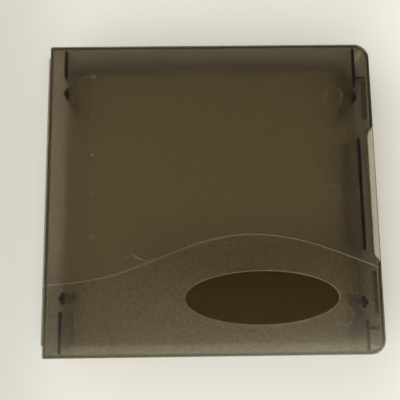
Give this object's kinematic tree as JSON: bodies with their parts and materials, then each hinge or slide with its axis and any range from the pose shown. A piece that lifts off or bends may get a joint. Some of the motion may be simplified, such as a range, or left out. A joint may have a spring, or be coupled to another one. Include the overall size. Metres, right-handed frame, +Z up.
{
  "type": "floppy disk storage box",
  "caption": "Flat smoke-tinted plastic case for a stack of 3.5 inch floppy disks: a ribbed tray and a hinged lid with a finger lip.",
  "frame": {"origin": "middle of the underside that the case rests on", "axes": "+X from the hinge side to the opening side, +Y to the rear wall, +Z up through the lid"},
  "size_m": [0.1027, 0.097, 0.0198],
  "materials": {
    "smoke_polypropylene": "translucent smoke-brown polypropylene, satin and finely grained, with a polished oval"
  },
  "bodies": {
    "base": {"base_tray": "smoke_polypropylene", "living_hinge": "smoke_polypropylene"},
    "lid": {"lid": "smoke_polypropylene"}
  },
  "joints": [
    {"name": "lid_hinge", "type": "hinge", "parent": "base", "child": "lid", "pos_m": [-0.05179, 0, 0.0183], "axis": [0, -1, 0], "range_deg": [0, 180], "deforming": ["living_hinge"]}
  ]
}
